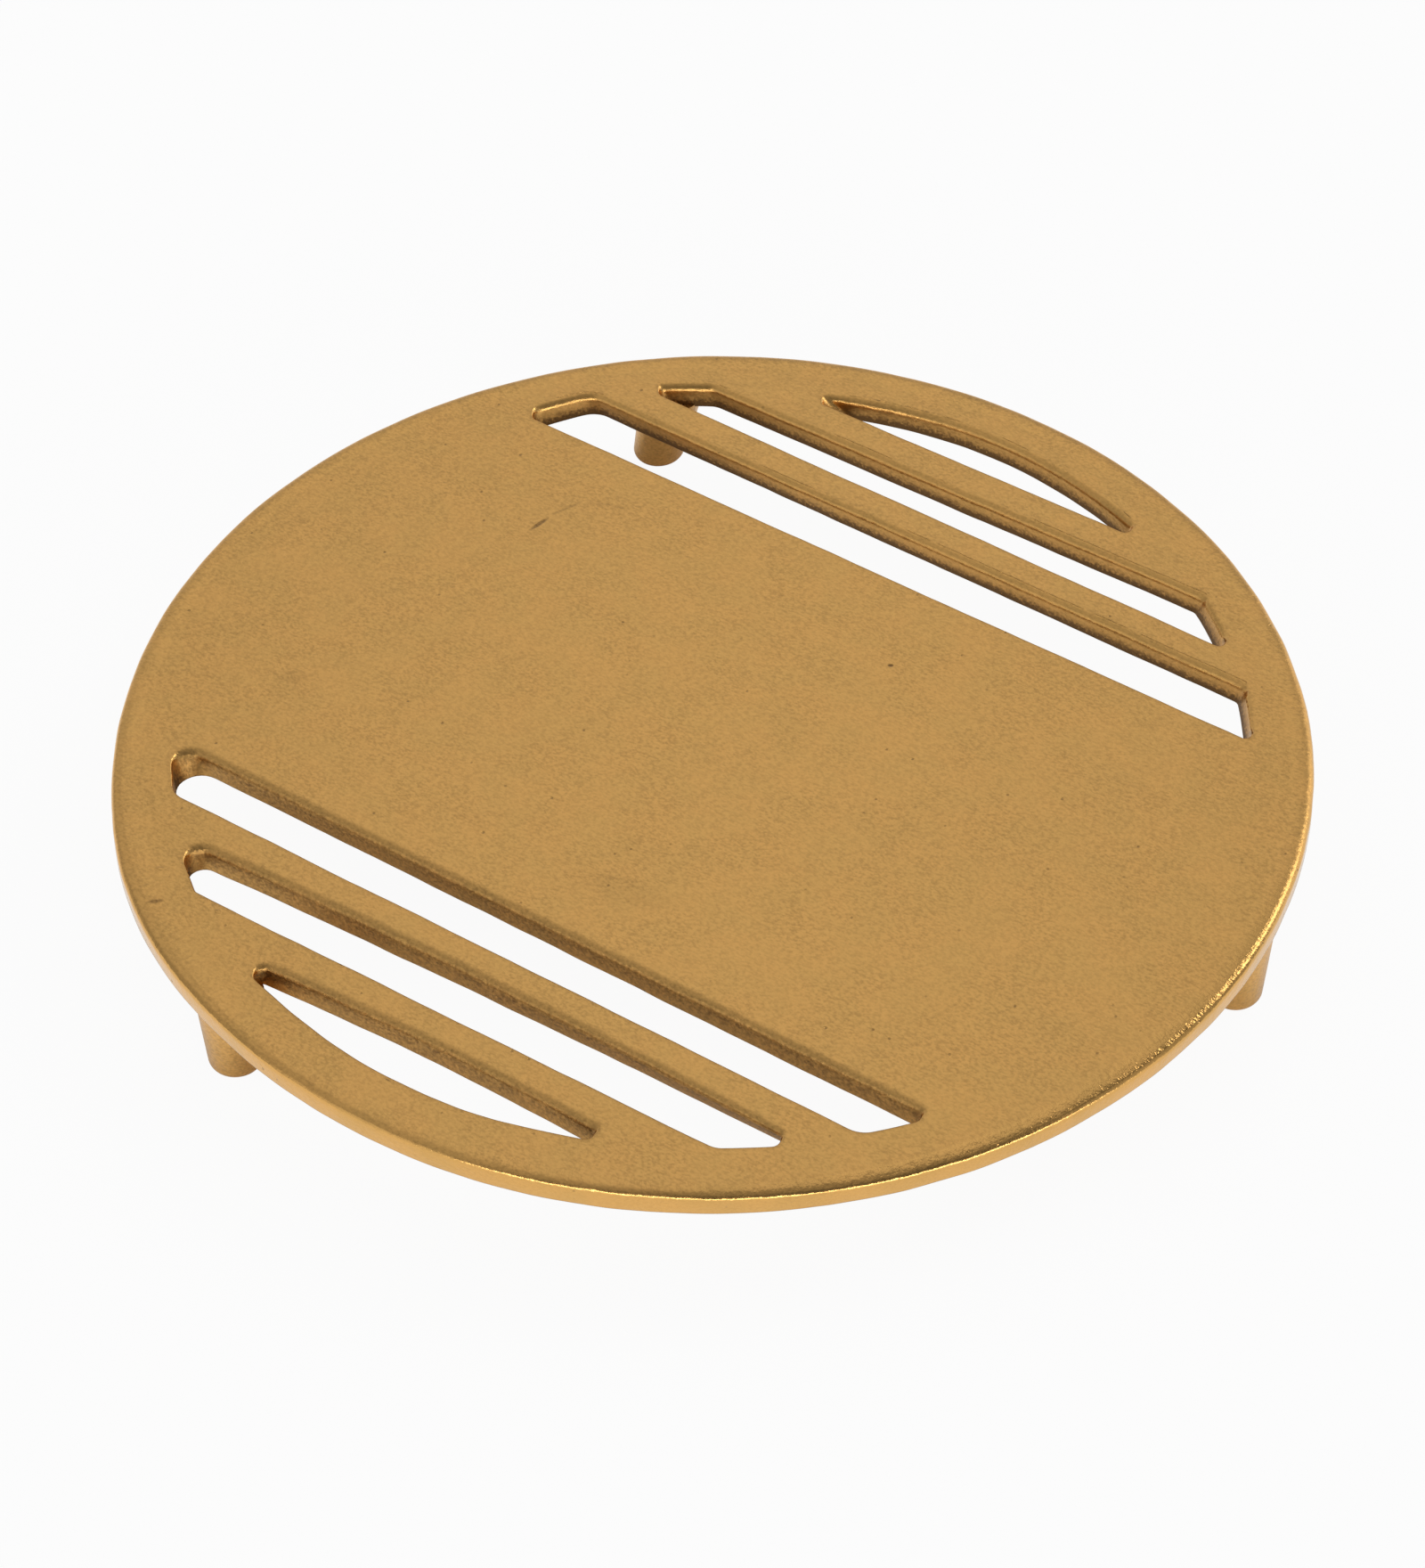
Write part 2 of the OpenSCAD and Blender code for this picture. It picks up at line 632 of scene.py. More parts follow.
@dataclass(frozen=True)
class Opening:
    """One opening of the plate, cut by hand between two distances from the middle line.

    The circle is the one that ends all openings. The upper and the lower cut say how the
    opening's outline differs from its plan at the two faces, and worn is the section of its
    worn edges. The points are those on a corner and on the end between two corners, and the step
    is the distance between the points on its long edges.
    """

    name: str
    side: Side
    near: float
    far: float
    circle: float
    upper: Cut
    lower: Cut
    worn: EdgeSection
    corner_points: int = 12
    end_points: int = 8
    step: float = 1.0 * MM

    @property
    def is_segment(self) -> bool:
        """Whether the opening reaches the circle that ends all openings."""
        return self.far >= self.circle

    def end(self, circle: float, near_round: float, far_round: float) -> np.ndarray:
        """Return the points of a right-hand end, from the near edge to the far one.

        Args:
            circle: The radius of the circle that ends the opening.
            near_round: The radius of the corner at the near edge.
            far_round: The radius of the corner at the far edge.

        Returns:
            The points, as rows of x and y.
        """
        near = self.corner_centre(circle, self.near + near_round, near_round)
        near_turn = math.atan2(near[1], near[0])
        first = arc(near, near_round, -math.pi / 2, near_turn, self.corner_points)
        if self.is_segment:
            return first
        far = self.corner_centre(circle, self.far - far_round, far_round)
        far_turn = math.atan2(far[1], far[0])
        side = arc(np.zeros(2), circle, near_turn, far_turn, self.end_points)
        last = arc(far, far_round, far_turn, math.pi / 2, self.corner_points)
        return np.vstack([first, side, last])

    def corner_centre(self, circle: float, distance: float, radius: float) -> np.ndarray:
        """Return the centre of a right-hand corner that touches the given circle."""
        return np.array([math.sqrt((circle - radius) ** 2 - distance**2), distance])

    def outline(self, cut: Cut) -> np.ndarray:
        """Return the outline at one level, as rows of x and y, with the metal on its right.

        Args:
            cut: The level's own edges and corners.

        Returns:
            The points in order, equally many for every level.
        """
        circle = self.circle + cut.circle_growth
        right = self.end(circle, cut.near_right, cut.far_right)
        left = self.end(circle, cut.near_left, cut.far_left)[::-1] * [-1, 1]
        count = round(2 * math.sqrt(self.circle**2 - self.near**2) / self.step)
        bottom = line(left[-1], right[0], count)[1:]
        if self.is_segment:
            angles = (math.atan2(*right[-1][::-1]), math.atan2(*left[0][::-1]))
            top = arc(np.zeros(2), circle, *angles, count)[1:-1]
        else:
            top = line(right[-1], left[0], count)[1:]
        loop = np.vstack([bottom, right, top, left])
        share = np.clip((loop[:, 1] - self.near) / (min(self.far, self.circle) - self.near), 0, 1)
        loop = loop * [1, self.side.value]
        strayed = (1 - share) * cut.near.at(loop[:, 0]) + share * cut.far.at(loop[:, 0])
        loop[:, 1] += strayed
        return loop if self.side is Side.BACK else loop[::-1]


@dataclass(frozen=True)
class Mark:
    """One small flaw on the upper face: its place, length, width, direction, darkness and height."""

    x: float
    y: float
    length: float
    width: float
    angle: float = 0.0
    darkness: float = 0.0
    height: float = 0.0


@dataclass(frozen=True)
class Glow:
    """A soft bright patch of the room: its direction, its reach and the light it adds."""

    azimuth: float
    elevation: float
    full: float
    fade: float
    light: float

    def share(self, wiring: Wiring, direction: Socket) -> Socket:
        """Return how far inside the patch a direction lies.

        Args:
            wiring: The wiring of the room's tree.
            direction: The direction looked in.

        Returns:
            The share, from 0 to 1.
        """
        middle = bearing(self.azimuth, self.elevation)
        facing = wiring.vector_math("DOT_PRODUCT", direction, middle)["Value"]
        return wiring.smooth_step(facing, cosine(self.full + self.fade), cosine(self.full))


@dataclass(frozen=True)
class Strip:
    """A long level strip of light low in the room, which gives the rim its bright line."""

    azimuth: float
    half_width: float
    elevation: float
    half_height: float
    light: float
    fade: float
    end_fade: float = 14.0

    def share(self, wiring: Wiring, direction: Socket) -> Socket:
        """Return how far inside the strip a direction lies.

        Args:
            wiring: The wiring of the room's tree.
            direction: The direction looked in.

        Returns:
            The share, from 0 to 1.
        """
        low, high = self.elevation - self.half_height, self.elevation + self.half_height
        levels = [bearing(0.0, e)[-1] for e in (low - self.fade, low, high, high + self.fade)]
        height = wiring.parts(direction)["Z"]
        level = wiring.product(
            wiring.smooth_step(height, levels[0], levels[1]),
            wiring.smooth_step(height, levels[3], levels[2]),
        )
        flat = wiring.vector_math("NORMALIZE", wiring.stretched(direction, LEVEL))["Vector"]
        facing = wiring.vector_math("DOT_PRODUCT", flat, bearing(self.azimuth, 0.0))["Value"]
        outer = cosine(self.half_width + self.end_fade)
        within = wiring.smooth_step(facing, outer, cosine(self.half_width))
        return wiring.product(level, within)


@dataclass(frozen=True)
class Patterns:
    """The patterns on a casting that its colour, its gloss and its skin share."""

    place: Socket
    worn: Socket
    dirt: Socket
    clouds: Socket
    peel: Socket
    ragged: Socket
    file_strokes: Socket
    pits: Socket
    dark_marks: Socket | float
    raised_marks: Socket | float


@dataclass(frozen=True)
class CastBrass:
    """Satin sand-cast brass: orange-peel skin, faint clouds of tint and glossier worn edges.

    A range gives the value at which a pattern starts and the one at which it is full.
    """

    name: str
    wear: Wear
    rim_radius: float
    marks: tuple[Mark, ...] = ()
    cool: Colour = (0.672, 0.386, 0.119)
    warm: Colour = (0.716, 0.403, 0.124)
    # The dark colour of stains and dirt, and of the painted shade in the walls and along the edges.
    stain: Colour = (0.20, 0.110, 0.040)
    roughness: float = 0.36
    roughness_spread: float = 0.24
    dark_area_roughness: float = 0.35
    fine_layers: float = 2.0
    cloud_layers: float = 4.0
    cloud_length: float = 7 * MM
    cloud_range: Range = (0.36, 0.64)
    speck_length: float = 0.42 * MM
    speck_stretch: float = 0.65
    speck_range: Range = (0.32, 0.78)
    speck_share: float = 0.40
    patch_length: float = 11 * MM
    patch_range: Range = (0.36, 0.62)
    patch_least: float = 0.6
    patch_gain: float = 0.35
    polished_clean: float = 0.85
    crust_length: float = 0.6 * MM
    crust_range: Range = (0.5, 0.8)
    crust_pull: float = 0.4
    crust_full_dirt: float = 0.6
    crust_depth: float = 0.16 * MM
    thin_dirt: float = 0.4
    pit_length: float = 1.6 * MM
    pit_range: Range = (0.20, 0.08)
    pit_chance: Range = (0.95, 0.98)
    pit_dirt: float = 0.4
    mark_range: Range = (1.0, 0.35)
    stroke_length: float = 2.4 * MM
    stroke_stretch: float = 0.4
    stroke_depth: float = 0.080 * MM
    peel_length: float = 0.9 * MM
    peel_depth: float = 0.070 * MM
    grain_length: float = 0.3 * MM
    grain_depth: float = 0.016 * MM
    file_rise_shares: Range = (0.955, 0.9784)
    file_fall_shares: Range = (0.994, 0.9862)
    file_length: float = 0.7 * MM
    file_stretch: float = 0.3
    file_range: Range = (0.36, 0.56)
    file_dirt: float = 0.7
    file_depth: float = 0.13 * MM

    def material(self) -> bpy.types.Material:
        """Make the finish as a procedural material on the piece's own coordinates.

        Returns:
            The material.
        """
        made = bpy.data.materials.new(self.name)
        wiring = fresh_tree(made)
        found = self.patterns(wiring)
        looks = {
            "Metallic": 1.0,
            "Base Color": self.tint(wiring, found),
            "Roughness": self.gloss(wiring, found),
            "Normal": self.skin(wiring, found),
        }
        shader = wiring.add("ShaderNodeBsdfPrincipled", looks)
        wiring.add("ShaderNodeOutputMaterial", {"Surface": shader.outputs["BSDF"]})
        return made

    def patterns(self, wiring: Wiring) -> Patterns:
        """Make the patterns that colour, gloss and skin share.

        Args:
            wiring: The material's wiring.

        Returns:
            The patterns.
        """
        place = wiring.add("ShaderNodeTexCoord").outputs["Object"]
        dark_marks, raised_marks = self.mark_fields(wiring, place)
        return Patterns(
            place=place,
            worn=wiring.attribute("wear"),
            dirt=wiring.attribute("dirt"),
            clouds=wiring.noise(place, self.cloud_length, self.cloud_layers),
            peel=wiring.noise(place, self.peel_length),
            ragged=wiring.noise(place, self.crust_length),
            file_strokes=self.file_strokes(wiring, place),
            pits=self.pits(wiring, place),
            dark_marks=dark_marks,
            raised_marks=raised_marks,
        )

    def pits(self, wiring: Wiring, place: Socket) -> Socket:
        """Return the pattern of small scattered pits.

        Args:
            wiring: The material's wiring.
            place: The piece's own coordinates.

        Returns:
            The pits, 1 in the middle of each and 0 between them.
        """
        cells = wiring.add(
            "ShaderNodeTexVoronoi", {"Vector": place, "Scale": 1 / self.pit_length}
        ).outputs
        chance = wiring.smooth_step(wiring.parts(cells["Color"])["X"], *self.pit_chance)
        return wiring.product(wiring.smooth_step(cells["Distance"], *self.pit_range), chance)

    def mark_fields(self, wiring: Wiring, place: Socket) -> tuple:
        """Return what all the marks together give each point.

        Args:
            wiring: The material's wiring.
            place: The piece's own coordinates.

        Returns:
            The darkness and the height that they add.
        """
        darkness, height = 0.0, 0.0
        for mark in self.marks:
            shifted = wiring.vector_math("SUBTRACT", place, (mark.x, mark.y, 0.0))["Vector"]
            turned = wiring.add(
                "ShaderNodeVectorRotate",
                {"Vector": shifted, "Angle": -math.radians(mark.angle)},
                rotation_type="Z_AXIS",
            ).outputs[0]
            fitted = wiring.stretched(turned, (2 / mark.length, 2 / mark.width, 0.0))
            away = wiring.vector_math("LENGTH", fitted)["Value"]
            spot = wiring.smooth_step(away, *self.mark_range)
            darkness = wiring.math("MULTIPLY_ADD", spot, mark.darkness, darkness)
            height = wiring.math("MULTIPLY_ADD", spot, mark.height, height)
        return darkness, height

    def file_strokes(self, wiring: Wiring, place: Socket) -> Socket:
        """Return the pattern of the short radial file strokes along the rim.

        Args:
            wiring: The material's wiring.
            place: The piece's own coordinates.

        Returns:
            The strokes, from 0 to 1, and 0 away from the rim.
        """
        parts = wiring.parts(place)
        away = wiring.vector_math("LENGTH", wiring.stretched(place, LEVEL))["Value"]
        rise, fall = (
            [share * self.rim_radius for share in shares]
            for shares in (self.file_rise_shares, self.file_fall_shares)
        )
        along = wiring.product(wiring.math("ARCTAN2", parts["Y"], parts["X"]), fall[0])
        spot = wiring.joined(X=along, Y=wiring.product(away, self.file_stretch))
        near_rim = wiring.product(wiring.smooth_step(away, *rise), wiring.smooth_step(away, *fall))
        return wiring.product(wiring.noise(spot, self.file_length), near_rim)

    def tint(self, wiring: Wiring, found: Patterns) -> Socket:
        """Return the base colour: faint clouds of tint, with stains in pits and marks, and dirt and
        painted shade in the walls and along the edges.

        Args:
            wiring: The material's wiring.
            found: The patterns on the casting.

        Returns:
            The colour.
        """
        cloudy = wiring.blend(
            wiring.smooth_step(found.clouds, *self.cloud_range), self.cool, self.warm
        )
        thick = wiring.math("MULTIPLY_ADD", found.dirt, self.crust_pull, found.ragged)
        crust = wiring.math("ADD", wiring.smooth_step(thick, *self.crust_range), self.thin_dirt)
        filed = wiring.smooth_step(found.file_strokes, *self.file_range)
        uneven = wiring.math("MULTIPLY_ADD", filed, self.file_dirt, crust)
        drawn = wiring.stretched(found.place, (self.speck_stretch, 1.0, 1.0))
        fine = wiring.noise(drawn, self.speck_length, self.fine_layers)
        patch = wiring.noise(found.place, self.patch_length, self.fine_layers)
        patch = wiring.smooth_step(patch, *self.patch_range)
        specks = wiring.product(
            wiring.smooth_step(fine, *self.speck_range),
            wiring.math("MULTIPLY_ADD", patch, self.patch_gain, self.patch_least),
        )
        kept = wiring.math("MULTIPLY_ADD", found.worn, -self.polished_clean, 1.0)
        # Dirt and painted shade in the walls, and the painted dark lines along the edges, darken the
        # colour here.
        stained_and_shaded = wiring.product(wiring.product(found.dirt, kept), uneven)
        stained_and_shaded = wiring.math("MULTIPLY_ADD", found.pits, self.pit_dirt, stained_and_shaded)
        specks = wiring.product(specks, kept)
        stained_and_shaded = wiring.math("MULTIPLY_ADD", specks, self.speck_share, stained_and_shaded)
        stained_and_shaded = wiring.math("ADD", stained_and_shaded, found.dark_marks)
        return wiring.blend(wiring.math("MINIMUM", stained_and_shaded, 1.0), cloudy, self.stain)

    def gloss(self, wiring: Wiring, found: Patterns) -> Socket:
        """Return the roughness, which varies a little, and is lower where worn and higher where dirt
        and painted shade darken the walls.

        Args:
            wiring: The material's wiring.
            found: The patterns on the casting.

        Returns:
            The roughness.
        """
        spread = self.roughness_spread / 2
        both = wiring.math("ADD", found.clouds, found.peel)
        rough = wiring.math("MULTIPLY_ADD", both, spread, self.roughness - spread)
        keep = wiring.math("MULTIPLY_ADD", found.worn, self.wear.value - 1.0, 1.0)
        left = wiring.product(found.dirt, wiring.math("SUBTRACT", 1.0, found.worn))
        return wiring.math("MULTIPLY_ADD", left, self.dark_area_roughness, wiring.product(rough, keep))

    def skin(self, wiring: Wiring, found: Patterns) -> Socket:
        """Return the normal of the cast skin: strokes, orange peel, grain, pits, marks and crust.

        Args:
            wiring: The material's wiring.
            found: The patterns on the casting.

        Returns:
            The normal.
        """
        drawn = wiring.stretched(found.place, (self.stroke_stretch, 1.0, 1.0))
        crust = wiring.math("MINIMUM", found.dirt, self.crust_full_dirt)
        height = found.raised_marks
        for pattern, depth in (
            (wiring.noise(drawn, self.stroke_length), self.stroke_depth),
            (found.peel, self.peel_depth),
            (wiring.noise(found.place, self.grain_length, self.fine_layers), self.grain_depth),
            (found.pits, -self.peel_depth),
            (found.file_strokes, self.file_depth),
            (wiring.product(found.ragged, crust), self.crust_depth),
        ):
            height = wiring.math("MULTIPLY_ADD", pattern, depth, height)
        bump = wiring.add("ShaderNodeBump", {"Height": height, "Distance": 1.0, "Strength": 1.0})
        return bump.outputs["Normal"]


class EdgeSweep(GeometryRecipe):
    """Sweeps an edge section along closed outlines, with its wear, dirt and painted shade.

    The round counts are the points added on the section's five corners, and the ease's round
    softens the fourth. The painted dark line fades out between two depths below the upper face.
    The ranges of polish are such depths as shares of the upper edge's round.
    """

    round_counts = (0, 4, 9, 3, 0)
    ease_round = 4 * MM
    line_fall = (2.4 * MM, 0.9 * MM)
    polish_rise = (0.0, 0.12)
    polish_fall = (1.1, 0.5)
    side_polish_rise = (0.2, 0.6)

    def __init__(self) -> None:
        """Build the tree: rounded section, its wear, its dirt and painted shade, sweep."""
        super().__init__("edge_sweep", EdgeSection)
        wiring = self.wiring
        outline = self.outline()
        reached = wiring.parts(self.place)
        below = wiring.math("ADD", self.size["height"], reached["Y"])
        marked = self.store(outline, "wear", self.wear(below))
        marked = self.store(marked, "dirt", self.dirt(reached["X"], below))
        path = wiring.add("GeometryNodeMeshToCurve", {"Mesh": self.source.outputs[0]})
        upright = wiring.add("GeometryNodeSetCurveNormal", {"Curve": path.outputs[0]}, mode="Z_UP")
        swept = wiring.add(
            "GeometryNodeCurveToMesh", {"Curve": upright.outputs[0], "Profile Curve": marked}
        )
        self.close(swept.outputs[0])

    def outline(self) -> Socket:
        """Make the rounded section.

        Returns:
            A curve from the underside to the upper face.
        """
        wiring, size = self.wiring, self.size
        eased_end = wiring.math("ADD", size["draft"], size["ease"])
        corners = [
            self.corner(wiring.math("ADD", size["lower_round"], size["land"]), 0.0),
            self.corner(0.0, 0.0),
            self.corner(size["draft"], wiring.math("SUBTRACT", size["height"], size["rise"])),
            self.corner(eased_end, size["height"]),
            self.corner(wiring.math("ADD", eased_end, size["land"]), size["height"]),
        ]
        rounds = [0.0, size["lower_round"], size["upper_round"], self.ease_round, 0.0]
        return self.section(corners, rounds, list(self.round_counts), limit=True)

    def wear(self, below: Socket) -> Socket:
        """Return how polished the section is at a depth below the upper face.

        Args:
            below: The depth.

        Returns:
            The wear, from 0 to 1.
        """
        wiring = self.wiring
        depth = wiring.math("DIVIDE", below, self.size["upper_round"])
        edge = wiring.product(
            wiring.smooth_step(depth, *self.polish_rise), wiring.smooth_step(depth, *self.polish_fall)
        )
        edge = wiring.product(edge, self.size["edge_wear"])
        side = wiring.smooth_step(depth, *self.side_polish_rise)
        return wiring.math("MAXIMUM", edge, wiring.product(side, self.size["side_wear"]))

    def dirt(self, across: Socket, below: Socket) -> Socket:
        """Return how dark the section is at one place, from dirt and painted shade.

        Args:
            across: The place across the section, from the wall's foot inwards.
            below: The depth below the upper face.

        Returns:
            The darkening, where 1 is fully dark.
        """
        wiring, size = self.wiring, self.size
        # Darker down the wall: partly dirt, partly painted shade.
        deep = wiring.smooth_step(below, size["dark_start"], size["dark_depth"])
        foot = wiring.smooth_step(below, size["dark_depth"], size["height"])
        foot_fade = wiring.product(wiring.math("SUBTRACT", size["dark_share"], size["dark_foot"]), foot)
        skin = wiring.product(deep, wiring.math("SUBTRACT", size["dark_share"], foot_fade))
        # A painted dark line along the upper edge, which stands in for a dark reflection.
        away = wiring.math("ABSOLUTE", wiring.math("SUBTRACT", across, size["line_place"]))
        near_line = wiring.product(
            wiring.smooth_step(away, size["line_reach"], 0.0),
            wiring.smooth_step(below, *self.line_fall),
        )
        return wiring.math("MULTIPLY_ADD", near_line, size["dark_line"], skin)

    def corner(self, across: Socket | float, level: Socket | float) -> Socket:
        """Return the place of a section's corner, whose level counts upwards from the underside."""
        return self.wiring.joined(X=across, Y=self.wiring.product(level, -1.0))

    def store(self, geometry: Socket, name: str, value: Socket) -> Socket:
        """Store a number for each point.

        Args:
            geometry: What has the points.
            name: The name that the number is kept under.
            value: The number.

        Returns:
            The geometry with its numbers.
        """
        node = self.wiring.add(
            "GeometryNodeStoreNamedAttribute",
            {"Geometry": geometry, "Name": name, "Value": value},
            data_type="FLOAT",
            domain="POINT",
        )
        return node.outputs[0]


@dataclass(frozen=True)
class SandSkin(Sizes):
    """How far sand casting strays from its pattern: in waves, in dimples and along the edges.

    Nothing moves at the table, and all of it moves above the rest height.
    """

    wave_height: float
    wave_length: float
    dimple_height: float
    dimple_length: float
    edge_wander: float
    wander_length: float
    rest_height: float
    seed: int


class CastSkin(GeometryRecipe):
    """Moves a mesh's points as sand casting does: slow waves, dimples and wandering edges."""

    seed_step = (0.173, 0.291, 0.117)
    noise_middle = 0.5

    def __init__(self) -> None:
        """Build the tree: three fields of noise, one move."""
        super().__init__("cast_skin", SandSkin)
        wiring, size = self.wiring, self.size
        shift = wiring.scaled(self.seed_step, size["seed"])
        self.seeded = wiring.vector_math("ADD", self.place, shift)["Vector"]
        normal = wiring.add("GeometryNodeInputNormal").outputs[0]
        lift = wiring.math(
            "ADD",
            self.swell(size["wave_length"], size["wave_height"]),
            self.swell(size["dimple_length"], size["dimple_height"]),
        )
        drift = self.waves(size["wander_length"], "Color")
        centred = wiring.vector_math("SUBTRACT", drift, (self.noise_middle,) * 3)["Vector"]
        sideways = wiring.scaled(wiring.stretched(centred, LEVEL), size["edge_wander"])
        total = wiring.vector_math("ADD", wiring.scaled(normal, lift), sideways)["Vector"]
        free = wiring.add(
            "ShaderNodeMapRange",
            {"Value": wiring.parts(self.place)["Z"], "From Min": 0.0, "From Max": size["rest_height"]},
        ).outputs["Result"]
        moved = wiring.add(
            "GeometryNodeSetPosition",
            {"Geometry": self.source.outputs[0], "Offset": wiring.scaled(total, free)},
        )
        self.close(moved.outputs[0])

    def swell(self, length: Socket, height: Socket) -> Socket:
        """Return how far waves of one length and height lift each point."""
        wave = self.wiring.math("SUBTRACT", self.waves(length, "Fac"), self.noise_middle)
        return self.wiring.product(wave, height)

    def waves(self, length: Socket, output: str) -> Socket:
        """Return noise with features of a given length.

        Args:
            length: The size of a feature.
            output: The noise's output, Fac for a number or Color for a vector.

        Returns:
            The noise at each point.
        """
        scale = self.wiring.math("DIVIDE", 1.0, length)
        inputs = {"Vector": self.seeded, "Scale": scale, "Detail": 1.0}
        return self.wiring.add("ShaderNodeTexNoise", inputs).outputs[output]


@dataclass(frozen=True)
class FootSizes(Sizes):
    """The sizes of a foot: its taper, the round at its sole and how finely it is turned."""

    height: float
    top_radius: float
    sole_radius: float
    sole_round: float
    buried_length: float
    sides: int
    round_points: int


class TurnedFoot(GeometryRecipe):
    """Turns a tapered foot with a rounded sole edge, closed at both ends."""

    def __init__(self) -> None:
        """Build the tree: rounded section, turn."""
        super().__init__("turned_foot", FootSizes)
        wiring, size = self.wiring, self.size
        buried_end = wiring.math("ADD", size["height"], size["buried_length"])
        corners = [
            wiring.joined(),
            wiring.joined(X=size["sole_radius"]),
            wiring.joined(X=size["top_radius"], Y=size["height"]),
            wiring.joined(X=size["top_radius"], Y=buried_end),
        ]
        rounds = [0.0, size["sole_round"], size["sole_round"], 0.0]
        counts = [0, size["round_points"], size["round_points"], 0]
        opened = wiring.add(
            "GeometryNodeDeleteGeometry",
            {
                "Geometry": self.section(corners, rounds, counts, limit=False),
                "Selection": wiring.math("LESS_THAN", self.index, 1.0),
            },
            domain="POINT",
        )
        place = wiring.parts(self.place)
        widths = wiring.add(
            "GeometryNodeSetCurveRadius", {"Curve": opened.outputs[0], "Radius": place["X"]}
        )
        upright = wiring.add(
            "GeometryNodeSetPosition",
            {"Geometry": widths.outputs[0], "Position": wiring.joined(Z=place["Y"])},
        )
        circle = wiring.add(
            "GeometryNodeCurvePrimitiveCircle", {"Resolution": size["sides"], "Radius": 1.0}
        )
        turned = wiring.add(
            "GeometryNodeCurveToMesh",
            {
                "Curve": upright.outputs[0],
                "Profile Curve": circle.outputs[0],
                "Scale": wiring.add("GeometryNodeInputRadius").outputs[0],
                "Fill Caps": True,
            },
        )
        self.close(turned.outputs[0])


